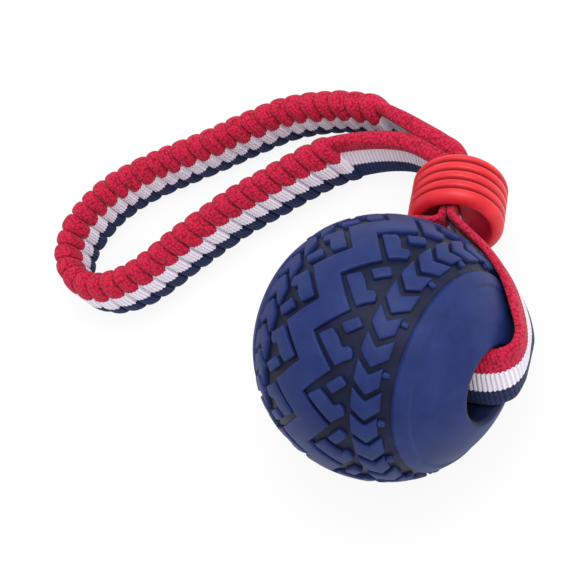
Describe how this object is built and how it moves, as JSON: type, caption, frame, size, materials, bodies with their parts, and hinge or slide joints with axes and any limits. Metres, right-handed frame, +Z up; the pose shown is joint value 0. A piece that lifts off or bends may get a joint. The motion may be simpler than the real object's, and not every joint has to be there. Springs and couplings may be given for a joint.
{
  "type": "dog throw and tug toy",
  "caption": "Rubber ball with a tyre tread on a loop of flat striped webbing, with a ribbed slider bead and a gathered, elastic hand loop for throwing and tugging.",
  "frame": {"origin": "centre of the footprint of the bounding box, on the floor that the ball and the hand loop rest on", "axes": "+Z up from the floor; the hand loop points towards -X, and the ball lies towards -Y"},
  "size_m": [0.1556, 0.1508, 0.08],
  "materials": {
    "ball_rubber": "moulded natural rubber, navy blue, satin with a fine moulding grain",
    "bead_rubber": "moulded rubber, bright red, smooth and half glossy",
    "webbing": "flat tubular polyester webbing, red, white and navy stripes along its length, fine crosswise ribs",
    "elastic": "flat braided elastic, natural white",
    "thread": "bonded polyester sewing thread, dark red"
  },
  "bodies": {
    "bead": {"slider_bead": "bead_rubber", "swing_leg_near": "webbing", "swing_leg_far": "webbing"},
    "yoke": {"yoke_leg_left": "webbing", "yoke_leg_right": "webbing", "strap_bore_run": "webbing", "strap_bore_lap": "webbing", "splice_stitch": "thread"},
    "ball": {"ball": "ball_rubber"},
    "handle": {"gather_near": "webbing", "gather_far": "webbing", "core_near": "elastic", "core_far": "elastic", "bartack_near": "thread", "bartack_far": "thread"},
    "grip_end": {"gather_bow": "webbing", "core_bow": "elastic"}
  },
  "joints": [
    {"name": "bead_slide", "type": "slide", "parent": "bead", "child": "yoke", "axis": [-0.3851, -0.8186, 0.4262], "range_m": [0, 0.008]},
    {"name": "ball_spin", "type": "hinge", "parent": "yoke", "child": "ball", "pos_m": [0.02482, -0.03593, 0.04], "axis": [0.6753, -0.7047, 0.2177], "continuous": true},
    {"name": "handle_swing", "type": "hinge", "parent": "bead", "child": "handle", "pos_m": [0.06118, 0.01985, 0.01504], "axis": [0.0124, 0.1244, 0.9922], "range_deg": [-75, 20], "deforming": ["swing_leg_near", "swing_leg_far"]},
    {"name": "handle_stretch", "type": "slide", "parent": "handle", "child": "grip_end", "axis": [-0.9999, 0.0005, 0.0124], "range_m": [0, 0.02], "stiffness_N_per_m": 150, "deforming": ["gather_near", "gather_far", "core_near", "core_far"]}
  ]
}
